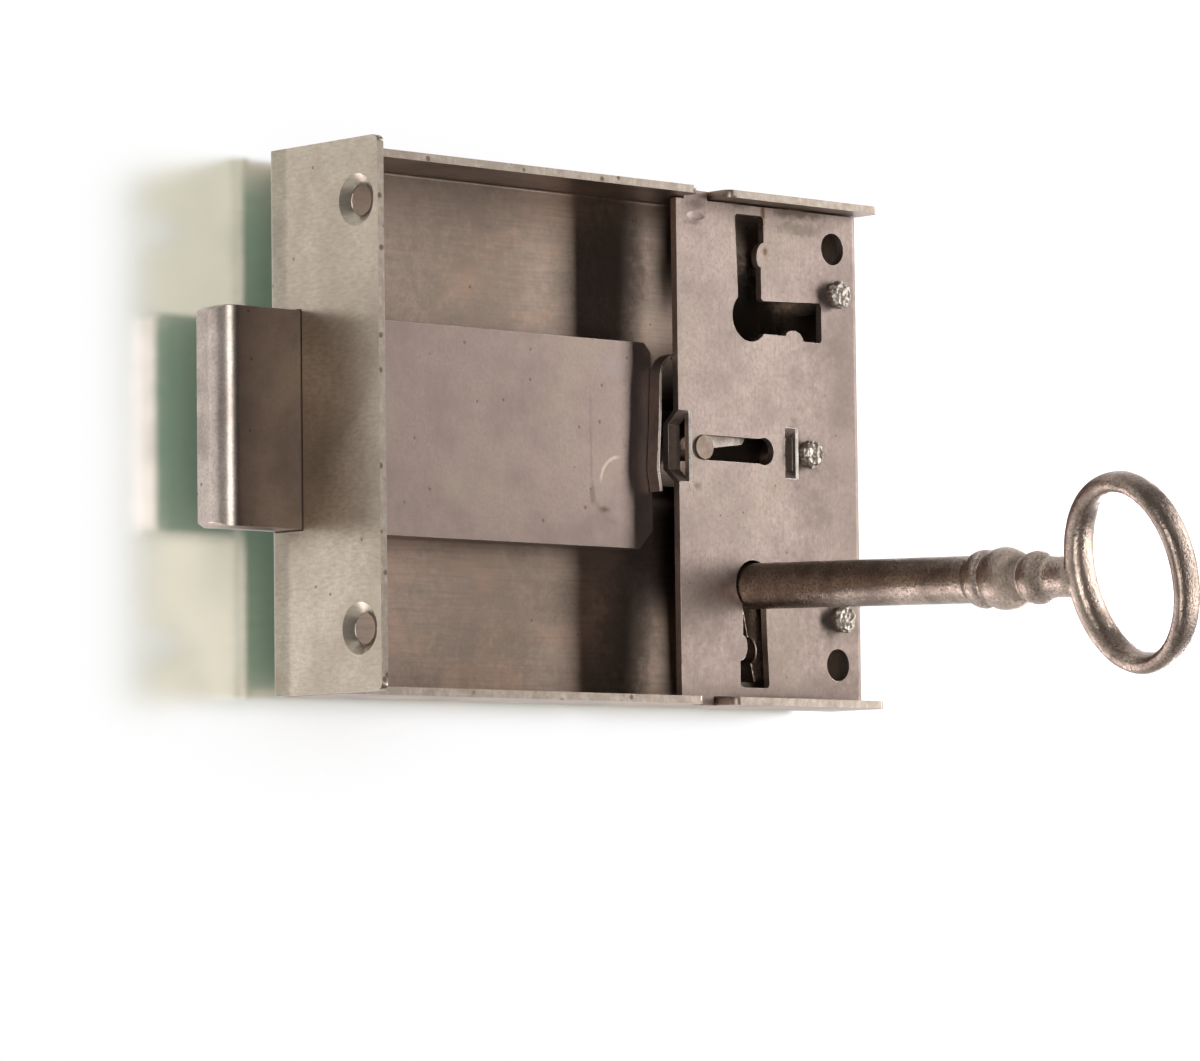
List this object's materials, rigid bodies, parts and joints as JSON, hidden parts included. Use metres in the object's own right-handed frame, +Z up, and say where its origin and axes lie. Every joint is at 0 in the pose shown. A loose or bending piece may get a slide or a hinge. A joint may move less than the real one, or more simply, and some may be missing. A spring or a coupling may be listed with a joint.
{
  "type": "cabinet lock",
  "caption": "Rim cabinet lock with an open folded steel case, face plate, sliding bolt, partial cover plate with keyholes, tumbler and round-bow key.",
  "frame": {"origin": "on the outer face of the face plate, midway between its two screw holes", "axes": "+X from the face plate to the back end of the case, along which the bolt draws in; +Y from the side where the key enters to the back plate; +Z up along the face plate"},
  "size_m": [0.098, 0.0739, 0.06],
  "materials": {
    "case_steel": "worn sheet steel",
    "cover_steel": "worn sheet steel",
    "post_steel": "cut steel",
    "bolt_iron": "worn casting",
    "tail_steel": "sheet steel",
    "tumbler_steel": "bright sheet steel",
    "spring_steel": "blued spring steel",
    "key_iron": "worn casting"
  },
  "bodies": {
    "case": {"lock_case": "case_steel", "cover_plate": "cover_steel", "cover_posts": "post_steel", "tumbler_post": "post_steel"},
    "bolt": {"bolt_block": "bolt_iron", "bolt_tail": "tail_steel", "tail_rivets": "post_steel", "guide_pin": "post_steel"},
    "tumbler": {"tumbler": "tumbler_steel", "tumbler_spring": "spring_steel"},
    "key": {"key": "key_iron"}
  },
  "joints": [
    {"name": "key_turn", "type": "hinge", "parent": "case", "child": "key", "pos_m": [0.068, 0.0113, -0.0158], "axis": [0, 0.9995, 0.0314], "range_deg": [0, 360]},
    {"name": "bolt_slide", "type": "slide", "parent": "case", "child": "bolt", "axis": [1, 0, 0], "range_m": [0, 0.01]},
    {"name": "tumbler_lift", "type": "hinge", "parent": "case", "child": "tumbler", "pos_m": [0.0774, 0.00985, 0], "axis": [0, 1, 0], "range_deg": [0, 7], "stiffness_Nm_per_rad": 0.02, "springref_deg": -14.32, "deforming": ["tumbler_spring"]}
  ],
  "couplings": [
    {"joint": "key_turn", "follows": "bolt_slide", "rad_per_m": 628.3}
  ]
}
